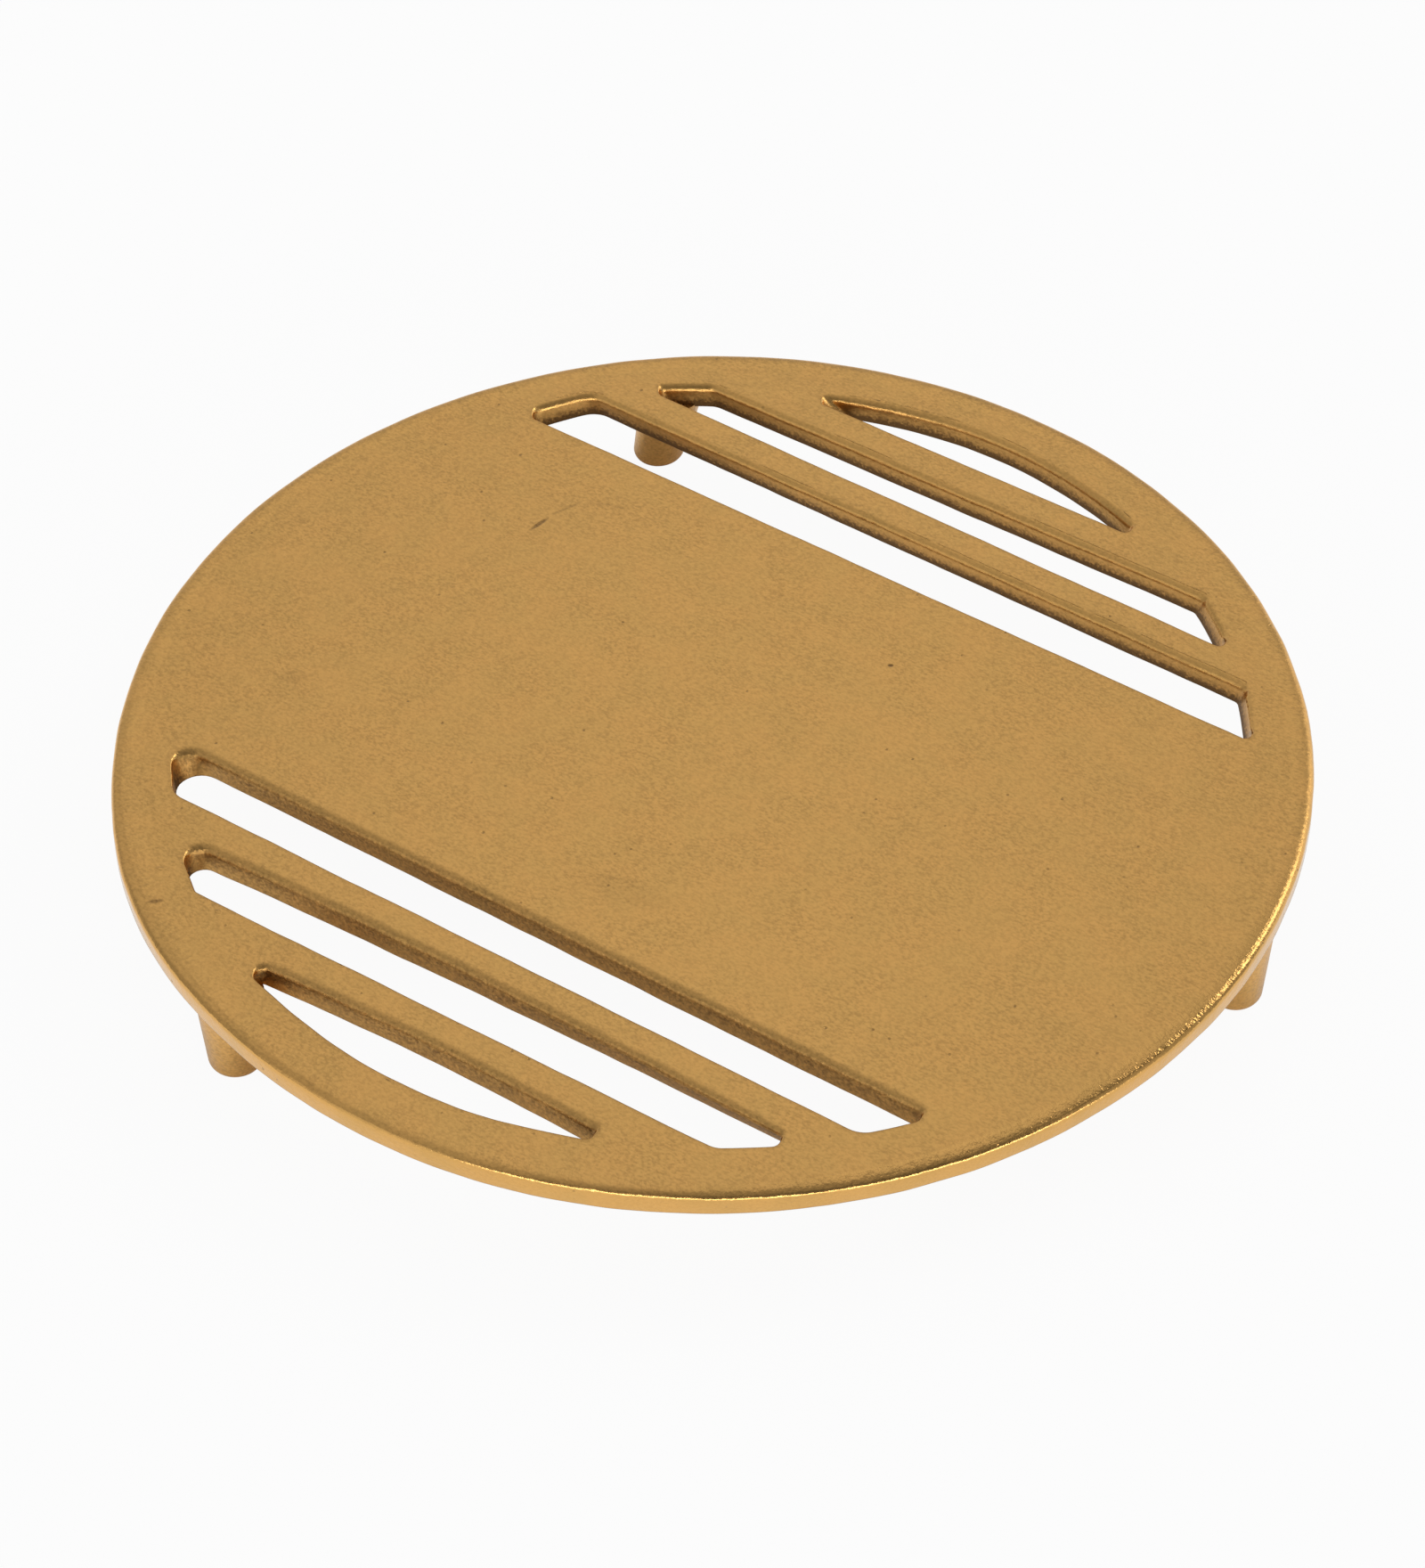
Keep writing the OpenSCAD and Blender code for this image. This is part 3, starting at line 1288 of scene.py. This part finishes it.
@dataclass
class SlottedPlate:
    """The one-piece cast plate with its six openings.

    The widths count inwards from the rim. The crisp sections are those of edges that the wear
    doesn't reach. The rim bulges by a small amount round one angle, in degrees, and its step is
    the distance between the points along it. The grids are the spacings of the points on the
    faces, which stray by a share of them, and which keep clear of the edges by another. The batch
    is how many of them are measured at once. Points nearer than the same point distance would
    count as one.
    """

    rim_width: float = 10.5 * MM
    segment_depth: float = 7.4 * MM
    outer_bar: float = 7.5 * MM
    outer_slot: float = 7.9 * MM
    inner_bar: float = 6.9 * MM
    inner_slot: float = 9.5 * MM
    # The dark values of each section paint its wall darker downwards, partly dirt and partly painted
    # shade, and paint a dark line along its upper edge that stands in for a dark reflection.
    crisp: EdgeSection = EdgeSection(
        upper_round=0.5 * MM,
        ease=0.9 * MM,
        dark_line=0.2,
        line_place=0.3 * MM,
        line_reach=0.8 * MM,
        dark_start=0.5 * MM,
        dark_depth=1.4 * MM,
        dark_share=0.9,
        dark_foot=0.9,
    )
    front_worn: EdgeSection = EdgeSection(
        upper_round=1.5 * MM,
        ease=1.7 * MM,
        rise=0.05 * MM,
        dark_line=0.36,
        line_place=0.4 * MM,
        line_reach=1.5 * MM,
        dark_depth=2.4 * MM,
        dark_share=0.35,
        dark_foot=0.2,
        edge_wear=0.35,
    )
    back_worn: EdgeSection = EdgeSection(
        upper_round=1.5 * MM,
        ease=1.4 * MM,
        rise=0.05 * MM,
        dark_line=0.08,
        line_place=1.3 * MM,
        line_reach=0.7 * MM,
        dark_start=1.0 * MM,
        dark_depth=4.4 * MM,
        edge_wear=0.2,
        dark_share=0.95,
        dark_foot=0.95,
    )
    # The rim's worn front has a painted dark band above its bright line, which stands in for a dark
    # reflection.
    rim_worn: EdgeSection = EdgeSection(
        upper_round=1.1 * MM,
        ease=3.0 * MM,
        rise=0.8 * MM,
        dark_line=1.0,
        line_place=1.4 * MM,
        line_reach=1.3 * MM,
        dark_share=0.0,
        dark_foot=0.0,
        side_wear=0.75,
        lower_round=0.6 * MM,
        draft=0.0,
        land=0.9 * MM,
    )
    rim_crisp: EdgeSection = EdgeSection(
        upper_round=1.2 * MM,
        ease=1.7 * MM,
        rise=0.22 * MM,
        dark_share=0.0,
        dark_foot=0.0,
        edge_wear=0.1,
        side_wear=0.75,
        lower_round=0.6 * MM,
        draft=0.0,
    )
    opening_exposure: Exposure = Exposure(-72.0, 96.0, 37.0)
    rim_exposure: Exposure = Exposure(-20.0, 46.0, 8.0)
    bulge: float = 1.1 * MM
    bulge_angle: float = 236.0
    bulge_spread: float = 17.0
    rim_step: float = 1.0 * MM
    upper_grid: float = 1.25 * MM
    lower_grid: float = 2.2 * MM
    jitter_share: float = 0.18
    clear_share: float = 0.62
    batch: int = 2000
    same_point: float = 1e-9
    seed: int = 7
    skin: SandSkin = SandSkin(
        wave_height=0.16 * MM,
        wave_length=22 * MM,
        dimple_height=0.06 * MM,
        dimple_length=4.5 * MM,
        edge_wander=0.3 * MM,
        wander_length=9 * MM,
        rest_height=1.0 * MM,
        seed=7,
    )
    node: str = "plate"
    low: Vector = field(init=False)
    high: Vector = field(init=False)

    def __post_init__(self) -> None:
        """Read the plate's place and size from the frame."""
        self.low, self.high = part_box(self.node)

    @property
    def radius(self) -> float:
        """The plate's radius."""
        return (self.high.x - self.low.x) / 2

    @property
    def height(self) -> float:
        """The casting's thickness."""
        return self.high.z - self.low.z

    def marks(self) -> tuple[Mark, ...]:
        """List the small flaws on the plate's upper face.

        Returns:
            The marks, each at its place from the middle of the plate.
        """
        return (
            Mark(-55.4 * MM, 27.8 * MM, 5.4 * MM, 1.1 * MM, 80.0, 0.65, -0.08 * MM),
            Mark(-53.8 * MM, 34.0 * MM, 8.0 * MM, 1.0 * MM, 66.0, 0.16, -0.03 * MM),
            Mark(-47.5 * MM, 38.8 * MM, 11.0 * MM, 1.0 * MM, 14.0, 0.12, -0.02 * MM),
            Mark(15.25 * MM, 31.2 * MM, 1.3 * MM, 0.9 * MM, 30.0, 0.9, -0.06 * MM),
            Mark(-54.3 * MM, -81.0 * MM, 3.6 * MM, 1.2 * MM, 40.0, 0.55),
            Mark(-58.3 * MM, -74.8 * MM, 1.6 * MM, 1.0 * MM, 20.0, 0.0, 0.08 * MM),
            Mark(-44.5 * MM, -77.2 * MM, 1.4 * MM, 1.0 * MM, 0.0, 0.0, 0.08 * MM),
            Mark(-67.6 * MM, -26.8 * MM, 7.0 * MM, 4.0 * MM, 30.0, 0.12),
            Mark(7.5 * MM, -37.3 * MM, 22.0 * MM, 8.0 * MM, 10.0, 0.09),
        )

    def front_cuts(self) -> list[tuple[Cut, Cut]]:
        """List how the front openings differ from their plan.

        Returns:
            The upper and the lower cut of each opening, from the panel outwards.
        """
        inner_far = Drift(0.1 * MM)
        outer_far = Drift(-0.38 * MM, 0.010)
        inner = (
            Cut(
                Drift(-0.2 * MM, -0.003), inner_far, 0.65 * MM,
                near_left=2.6 * MM, near_right=1.5 * MM, far_left=4.0 * MM, far_right=4.4 * MM,
            ),
            Cut(
                Drift(-0.3 * MM, -0.0033), inner_far, 0.4 * MM,
                near_left=4.0 * MM, near_right=1.2 * MM, far_left=4.0 * MM, far_right=4.4 * MM,
            ),
        )
        outer = (
            Cut(
                Drift(0.95 * MM, 0.003, -0.4), outer_far, 0.55 * MM,
                near_left=2.2 * MM, near_right=1.5 * MM, far_left=1.4 * MM, far_right=3.6 * MM,
            ),
            Cut(
                Drift(0.99 * MM, 0.0235, -0.2), outer_far, 0.3 * MM,
                near_left=2.4 * MM, near_right=1.2 * MM, far_left=1.4 * MM, far_right=3.6 * MM,
            ),
        )
        segment = (
            Cut(
                Drift(0.75 * MM, 0.016, -0.8), circle_growth=0.9 * MM,
                near_left=1.6 * MM, near_right=1.2 * MM,
            ),
            Cut(
                Drift(0.61 * MM, 0.020, -0.9), circle_growth=0.9 * MM,
                near_left=1.4 * MM, near_right=1.0 * MM,
            ),
        )
        return [inner, outer, segment]

    def back_cuts(self) -> list[tuple[Cut, Cut]]:
        """List how the back openings differ from their plan.

        Returns:
            The upper and the lower cut of each opening, from the panel outwards.
        """
        inner_near = Drift(-0.55 * MM, -0.011)
        outer_near = Drift(0.55 * MM, -0.018)
        outer_far = Drift(0.27 * MM)
        segment_near = Drift(0.15 * MM)
        inner = (
            Cut(
                inner_near, Drift(0.55 * MM, -0.012), 0.8 * MM,
                near_left=1.5 * MM, near_right=0.8 * MM, far_left=4.2 * MM, far_right=2.2 * MM,
            ),
            Cut(
                inner_near, Drift(0.78 * MM, -0.0175), 0.2 * MM,
                near_left=1.5 * MM, near_right=0.8 * MM, far_left=5.0 * MM, far_right=1.6 * MM,
            ),
        )
        outer = (
            Cut(
                outer_near, outer_far, 0.7 * MM,
                near_left=1.5 * MM, near_right=0.8 * MM, far_left=3.0 * MM, far_right=2.2 * MM,
            ),
            Cut(
                outer_near, outer_far, 0.1 * MM,
                near_left=1.5 * MM, near_right=0.8 * MM, far_left=3.6 * MM, far_right=1.6 * MM,
            ),
        )
        segment = (
            Cut(
                segment_near, Drift(0.95 * MM, -0.006, -0.5),
                near_left=0.9 * MM, near_right=1.0 * MM,
            ),
            Cut(
                segment_near, Drift(0.7 * MM, -0.004, -0.6),
                near_left=1.8 * MM, near_right=1.0 * MM,
            ),
        )
        return [inner, outer, segment]

    def openings(self) -> list[Opening]:
        """Place the six openings, counted inwards from the rim on both sides.

        Returns:
            The openings, those at the front first, and from the panel outwards.
        """
        circle = self.radius - self.rim_width
        segment = circle - self.segment_depth
        outer_far = segment - self.outer_bar
        outer_near = outer_far - self.outer_slot
        inner_far = outer_near - self.inner_bar
        inner_near = inner_far - self.inner_slot
        bands = [
            ("inner_slot", inner_near, inner_far),
            ("outer_slot", outer_near, outer_far),
            ("segment", segment, circle),
        ]
        groups = {
            Side.FRONT: (self.front_cuts(), self.front_worn),
            Side.BACK: (self.back_cuts(), self.back_worn),
        }
        return [
            Opening(f"{name}_{side.name.lower()}", side, near, far, circle, upper, lower, worn)
            for side, (cuts, worn) in groups.items()
            for (name, near, far), (upper, lower) in zip(bands, cuts)
        ]

    def rim_outline(self) -> np.ndarray:
        """Draw the rim's outline, which bulges a little at one place.

        Returns:
            The points, as rows of x and y, with the metal on their right.
        """
        around = 2 * math.pi
        count = math.ceil(around * self.radius / self.rim_step)
        loop = arc(np.zeros(2), self.radius, around, 0.0, count + 1)[:-1]
        angles = np.degrees(np.arctan2(loop[:, 1], loop[:, 0])) % 360
        grown = self.bulge * np.exp(-(((angles - self.bulge_angle) / self.bulge_spread) ** 2))
        return loop * (1 + grown / self.radius)[:, None]

    def swept(self, sweep: EdgeSweep, name: str, outline: np.ndarray, section: EdgeSection) -> Band:
        """Sweep one edge section along one outline.

        Args:
            sweep: The tree that does it.
            name: The edge's name.
            outline: The closed outline, with the metal on its right.
            section: The edge's section.

        Returns:
            The edge as an open band, its points running up the section, outline point by point.
        """
        count = len(outline)
        points = np.column_stack([outline, np.full(count, self.low.z)])
        closed = [(i, (i + 1) % count) for i in range(count)]
        mesh = sweep.run(mesh_of(name, points, closed, []), replace(section, height=self.height))
        band = Band(
            points_of(mesh),
            {key: values_of(mesh, key) for key in Band.layers},
            [tuple(p.vertices) for p in mesh.polygons],
            count,
        )
        bpy.data.meshes.remove(mesh)
        return band

    def opening_band(self, sweep: EdgeSweep, opening: Opening) -> Band:
        """Return the edge band of one opening, crisp on one side and worn on the other.

        Args:
            sweep: The tree that sweeps it.
            opening: The opening.

        Returns:
            The band, whose walls lean from the opening's lower cut to its upper one.
        """
        lower = opening.outline(opening.lower)
        crisp = self.swept(sweep, opening.name, lower, self.crisp)
        worn = self.swept(sweep, opening.name, lower, opening.worn)
        band = crisp.blended(worn, self.opening_exposure.share(lower))
        return band.leaned(opening.outline(opening.upper) - lower, self.low.z, self.height)

    def rim_band(self, sweep: EdgeSweep) -> Band:
        """Return the edge band of the rim, more worn on its front.

        Args:
            sweep: The tree that sweeps it.

        Returns:
            The band.
        """
        outline = self.rim_outline()
        crisp = self.swept(sweep, "rim", outline, self.rim_crisp)
        worn = self.swept(sweep, "rim", outline, self.rim_worn)
        return crisp.blended(worn, self.rim_exposure.share(outline))

    def grid(self, spacing: float, rng: np.random.Generator) -> np.ndarray:
        """Return a slightly uneven honeycomb of points over the whole plate.

        Args:
            spacing: The distance between two points.
            rng: The source of their unevenness.

        Returns:
            The points, as rows of x and y.
        """
        reach = self.radius + self.bulge
        rows = np.arange(-reach, reach, spacing * math.sqrt(3) / 2)
        columns = np.arange(-reach, reach, spacing)
        x, y = np.meshgrid(columns, rows)
        x[1::2] += spacing / 2
        points = np.column_stack([x.ravel(), y.ravel()])
        return points + rng.uniform(-1, 1, points.shape) * spacing * self.jitter_share

    def face(self, loops: list[np.ndarray], spacing: float, rng: np.random.Generator) -> tuple:
        """Triangulate the upper or the lower face between the rim's loop and the openings' loops.

        Args:
            loops: The border loops, the rim's first, as rows of x and y.
            spacing: The distance between the points inside.
            rng: The source of the points' unevenness.

        Returns:
            The points inside, and triangles that count the loops' points first and then these.
        """
        points = self.grid(spacing, rng)
        points = points[between(loops, points)]
        border = np.vstack(loops)
        gaps = [
            ((part[:, None] - border[None]) ** 2).sum(2).min(1)
            for part in np.array_split(points, math.ceil(len(points) / self.batch))
        ]
        points = points[np.concatenate(gaps) > (spacing * self.clear_share) ** 2]
        edges, first = [], 0
        for loop in loops:
            edges += [(first + i, first + (i + 1) % len(loop)) for i in range(len(loop))]
            first += len(loop)
        corners = np.vstack([border, points])
        made = delaunay_2d_cdt([Vector(p) for p in corners], edges, [], 0, self.same_point)
        if len(made[0]) != len(corners):
            raise ValueError("two border loops of the plate cross")
        triangles = np.array(made[2])
        return points, triangles[between(loops, corners[triangles].mean(1))]

    def casting(self, bands: list[Band]) -> bpy.types.Mesh:
        """Close the swept edges with an upper and a lower face.

        Args:
            bands: The edge bands, the rim's first.

        Returns:
            The smooth casting, with each point's wear, and its dirt and painted shade.
        """
        starts = np.cumsum([0] + [len(band.points) for band in bands])
        first = int(starts[-1])
        points = [band.points for band in bands]
        faces = [
            tuple(int(start) + v for v in corners)
            for band, start in zip(bands, starts)
            for corners in band.faces
        ]
        layers = {key: [band.values[key] for band in bands] for key in Band.layers}
        lower = [start + np.arange(band.count) * band.steps for band, start in zip(bands, starts)]
        upper = [loop + band.steps - 1 for band, loop in zip(bands, lower)]
        swept = np.vstack(points)
        rng = np.random.default_rng(self.seed)
        for loops, spacing, level, way in (
            (upper, self.upper_grid, self.high.z, 1),
            (lower, self.lower_grid, self.low.z, -1),
        ):
            inner, triangles = self.face([swept[loop][:, :2] for loop in loops], spacing, rng)
            order = np.concatenate([*loops, first + np.arange(len(inner))])
            faces += [tuple(order[t][::way]) for t in triangles]
            points.append(np.column_stack([inner, np.full(len(inner), level)]))
            for values in layers.values():
                values.append(np.zeros(len(inner), np.float32))
            first += len(inner)
        mesh = mesh_of("plate_casting", np.vstack(points), [], faces)
        for key, values in layers.items():
            layer = mesh.attributes.new(key, "FLOAT", "POINT")
            layer.data.foreach_set("value", np.concatenate(values))
        return mesh

    def build(
        self, sweep: EdgeSweep, skin: CastSkin, finish: bpy.types.Material
    ) -> bpy.types.Object:
        """Build the whole casting.

        Args:
            sweep: The tree that sweeps the edges.
            skin: The tree that roughens the casting.
            finish: The casting's material.

        Returns:
            The finished plate, standing for its node.
        """
        bands = [self.rim_band(sweep)]
        bands += [self.opening_band(sweep, opening) for opening in self.openings()]
        mesh = skin.run(self.casting(bands), self.skin, finish)
        return settled(mesh, "plate_casting", self.node)


@dataclass
class PeggedFoot:
    """One short tapered foot under the rim. It may lean, which moves its sole in X and Y."""

    node: str
    lean: tuple = (0.0, 0.0)
    sole_radius: float = 4.5 * MM
    sole_round: float = 1.8 * MM
    buried: float = 0.6 * MM
    sides: int = 72
    round_points: int = 10
    skin: SandSkin = SandSkin(
        wave_height=0.08 * MM,
        wave_length=6 * MM,
        dimple_height=0.04 * MM,
        dimple_length=2 * MM,
        edge_wander=0.1 * MM,
        wander_length=8 * MM,
        rest_height=1.5 * MM,
        seed=1,
    )

    def build(
        self, lathe: TurnedFoot, skin: CastSkin, plate: SlottedPlate, finish: bpy.types.Material
    ) -> bpy.types.Object:
        """Turn the foot, roughen it and stand it where its node is.

        Args:
            lathe: The tree that turns a foot.
            skin: The tree that roughens it.
            plate: The plate that it carries.
            finish: The foot's material.

        Returns:
            The finished foot, standing for its node.
        """
        low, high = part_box(self.node)
        centre = (low + high) / 2
        sizes = FootSizes(
            height=plate.low.z - low.z,
            top_radius=(high.x - low.x) / 2,
            sole_radius=self.sole_radius,
            sole_round=self.sole_round,
            buried_length=self.buried,
            sides=self.sides,
            round_points=self.round_points,
        )
        mesh = lathe.run(mesh_of(self.node, np.zeros((1, 3)), [], []), sizes)
        slant = Matrix.Identity(4)
        slant[0][2], slant[1][2] = (-part / plate.low.z for part in self.lean)
        stand = Matrix.Translation((centre.x + self.lean[0], centre.y + self.lean[1], low.z))
        mesh.transform(stand @ slant)
        mesh = skin.run(mesh, self.skin, finish)
        return settled(mesh, self.node + "_cast", self.node)


def settled(mesh: bpy.types.Mesh, name: str, node: str) -> bpy.types.Object:
    """Make a mesh a finished piece of the object.

    Args:
        mesh: The piece's mesh, in its place.
        name: The piece's name.
        node: The node that it stands for.

    Returns:
        The piece, riding on its body.
    """
    mesh.shade_smooth()
    piece = linked(name, mesh)
    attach(piece, "root")
    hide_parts(node)
    return piece


def open_edges(mesh: bpy.types.Mesh) -> int:
    """Count the edges that aren't shared by exactly two faces.

    Args:
        mesh: The mesh.

    Returns:
        The number of such edges, which is 0 on a closed mesh.
    """
    count = np.zeros(len(mesh.edges), int)
    used = np.empty(len(mesh.loops), int)
    mesh.loops.foreach_get("edge_index", used)
    np.add.at(count, used, 1)
    return int((count != 2).sum())


@dataclass(frozen=True)
class Camera:
    """The camera, placed from the photograph's perspective of the plate's upper face."""

    azimuth: float = 34.46
    elevation: float = 44.91
    roll: float = -0.75
    distance: float = 813.1 * MM
    focal_pixels: float = 5464.1
    aim_pixel: tuple = (801.0, 828.7)
    image_pixels: tuple = (1600, 1760)
    sensor: float = 36.0
    clip_start: float = 10 * MM

    def axes(self) -> tuple[Vector, Vector, Vector]:
        """Work out how the camera is turned.

        Returns:
            Its right, up and backward directions.
        """
        a, e, roll = (math.radians(x) for x in (self.azimuth, self.elevation, self.roll))
        back = Vector((math.sin(a) * math.cos(e), -math.cos(a) * math.cos(e), math.sin(e)))
        right = Vector((math.cos(a), math.sin(a), 0))
        up = back.cross(right)
        turned_right = math.cos(roll) * right + math.sin(roll) * up
        turned_up = -math.sin(roll) * right + math.cos(roll) * up
        return turned_right, turned_up, back

    def make(self, aim: Vector) -> bpy.types.Object:
        """Make the camera, with a point of the object at the aim pixel.

        Args:
            aim: The point, in the frame.

        Returns:
            The camera, which is the scene's camera.
        """
        width, height = self.image_pixels
        right, up, back = self.axes()
        across = (self.aim_pixel[0] - width / 2) / self.focal_pixels
        down = (self.aim_pixel[1] - height / 2) / self.focal_pixels
        ray = (right * across - up * down - back).normalized()
        data = bpy.data.cameras.new("photo_camera")
        data.sensor_width = self.sensor
        data.lens = self.focal_pixels / max(width, height) * self.sensor
        data.clip_start = self.clip_start
        camera = linked("photo_camera", data)
        facing = Matrix((right, up, back)).transposed()
        camera.matrix_world = Matrix.Translation(aim - ray * self.distance) @ facing.to_4x4()
        bpy.context.scene.camera = camera
        return camera


@dataclass(frozen=True)
class Studio:
    """A plain pale floor in a dim room with a large soft light behind and smaller ones around.

    The floor's mirror image is in shade within a distance of the middle, except for one pool of
    light behind. A range gives where something starts and where it is full.
    """

    floor_size: float = 6.0
    floor_colour: tuple = (0.88, 0.88, 0.88)
    camera_glow: float = 0.94
    shade_glow: float = 0.12
    shade_range: Range = (90 * MM, 109 * MM)
    pool_glow: float = 0.52
    pool_range_x: Range = (-58 * MM, -30 * MM)
    pool_range_y: Range = (-30 * MM, 40 * MM)
    room_light: float = 0.16
    horizon_light: float = 0.34
    horizon_top: float = 0.50
    glows: tuple = (
        Glow(azimuth=124.5, elevation=42.0, full=16.0, fade=34.0, light=0.30),
        Glow(azimuth=100.0, elevation=58.0, full=0.0, fade=30.0, light=0.24),
        Glow(azimuth=-130.0, elevation=42.0, full=14.0, fade=20.0, light=0.36),
        Glow(azimuth=-112.0, elevation=16.0, full=8.0, fade=14.0, light=0.45),
        Glow(azimuth=178.0, elevation=62.0, full=4.0, fade=22.0, light=0.14),
        Glow(azimuth=0.0, elevation=90.0, full=12.0, fade=30.0, light=0.22),
        Glow(azimuth=62.0, elevation=36.0, full=6.5, fade=6.0, light=3.6),
        Glow(azimuth=168.0, elevation=20.0, full=12.0, fade=26.0, light=0.25),
        Glow(azimuth=22.0, elevation=32.0, full=10.0, fade=14.0, light=0.30),
        Glow(azimuth=72.0, elevation=12.0, full=12.0, fade=16.0, light=0.80),
    )
    strips: tuple = (
        Strip(
            azimuth=-40.0, half_width=40.0, elevation=-5.0, half_height=12.0, light=1.0,
            fade=9.0, end_fade=28.0,
        ),
        Strip(azimuth=-44.0, half_width=42.0, elevation=14.0, half_height=2.2, light=5.4, fade=2.5),
    )
    lamp_place: tuple = (-0.75, 1.05, 1.25)
    lamp_size: float = 0.7
    lamp_watts: float = 0.6

    def floor_finish(self) -> bpy.types.Material:
        """Make the floor's material, which is pale to the camera and in mirrors, with painted shade
        and a painted pool of light in its mirror image.

        Returns:
            The material.
        """
        made = bpy.data.materials.new("pale_floor")
        wiring = fresh_tree(made)
        rays = wiring.add("ShaderNodeLightPath").outputs
        seen = wiring.math("MAXIMUM", rays["Is Glossy Ray"], rays["Is Transmission Ray"])
        place = wiring.add("ShaderNodeTexCoord").outputs["Object"]
        parts = wiring.parts(place)
        # Painted shade under the object and a painted pool of light behind it, which only mirrors see.
        pool = wiring.product(
            wiring.smooth_step(parts["Y"], *self.pool_range_y),
            wiring.smooth_step(parts["X"], *self.pool_range_x),
        )
        shade = wiring.math("MULTIPLY_ADD", pool, self.pool_glow, self.shade_glow)
        away = wiring.vector_math("LENGTH", place)["Value"]
        clear = wiring.math("MAXIMUM", wiring.smooth_step(away, *self.shade_range), shade)
        mirrored = wiring.product(seen, clear)
        share = wiring.math("MULTIPLY_ADD", rays["Is Camera Ray"], self.camera_glow, mirrored)
        paint = wiring.add("ShaderNodeBsdfDiffuse", {"Color": (*self.floor_colour, 1.0)})
        glow = wiring.add("ShaderNodeEmission", {"Color": WHITE, "Strength": 1.0})
        mixed = wiring.add(
            "ShaderNodeMixShader", {"Fac": share, 1: paint.outputs[0], 2: glow.outputs[0]}
        )
        wiring.add("ShaderNodeOutputMaterial", {"Surface": mixed.outputs[0]})
        return made

    def floor(self) -> None:
        """Lay the floor, which keeps the object's shadow."""
        half = self.floor_size / 2
        corners = np.array([(-half, -half, 0), (half, -half, 0), (half, half, 0), (-half, half, 0)])
        mesh = mesh_of("floor", corners, [], [tuple(range(len(corners)))])
        mesh.materials.append(self.floor_finish())
        linked("floor", mesh)

    def room(self) -> None:
        """Light the room: dim all round, brighter low down at the front, with its soft glows."""
        world = bpy.data.worlds.new("room")
        bpy.context.scene.world = world
        wiring = fresh_tree(world)
        direction = wiring.add("ShaderNodeTexCoord").outputs["Generated"]
        low = wiring.smooth_step(wiring.parts(direction)["Z"], self.horizon_top, 0.0)
        light = wiring.math("MULTIPLY_ADD", low, self.horizon_light, self.room_light)
        for glow in (*self.glows, *self.strips):
            light = wiring.math("MULTIPLY_ADD", glow.share(wiring, direction), glow.light, light)
        shine = wiring.add("ShaderNodeBackground", {"Color": WHITE, "Strength": light})
        wiring.add("ShaderNodeOutputWorld", {"Surface": shine.outputs[0]})

    def lamp(self) -> None:
        """Hang the square soft lamp behind the object, facing the middle of the floor."""
        data = bpy.data.lights.new("back_soft", "AREA")
        data.size = self.lamp_size
        data.energy = self.lamp_watts
        place = Vector(self.lamp_place)
        aimed = (-place).to_track_quat("-Z", "Y").to_matrix().to_4x4()
        linked("back_soft", data).matrix_world = Matrix.Translation(place) @ aimed

    def make(self) -> None:
        """Lay the floor, light the room and hang the lamp."""
        self.floor()
        self.room()
        self.lamp()
        bpy.context.scene.view_settings.view_transform = "Standard"


def main() -> None:
    """Build the camera, the studio, the plate and the feet in order, and report each piece."""
    logging.basicConfig(level=logging.INFO, format="%(name)s: %(message)s")
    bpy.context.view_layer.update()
    plate = SlottedPlate()
    Camera().make(Vector((0, 0, plate.high.z)))
    Studio().make()
    skin = CastSkin()
    plate_finish = CastBrass("satin_cast_brass", Wear.PLATE, plate.radius, plate.marks())
    foot_finish = CastBrass("foot_cast_brass", Wear.FOOT, plate.radius, roughness=0.34)
    pieces = [plate.build(EdgeSweep(), skin, plate_finish.material())]
    lathe = TurnedFoot()
    foot_material = foot_finish.material()
    for node in sorted(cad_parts):
        if node.startswith("foot"):
            foot = PeggedFoot(node, FOOT_LEANS.get(node, (0.0, 0.0)))
            pieces.append(foot.build(lathe, skin, plate, foot_material))
    for piece in pieces:
        LOG.info(
            "%s: %d faces, %d open edges", piece.name, len(piece.data.polygons), open_edges(piece.data)
        )


if __name__ == "__main__":
    main()
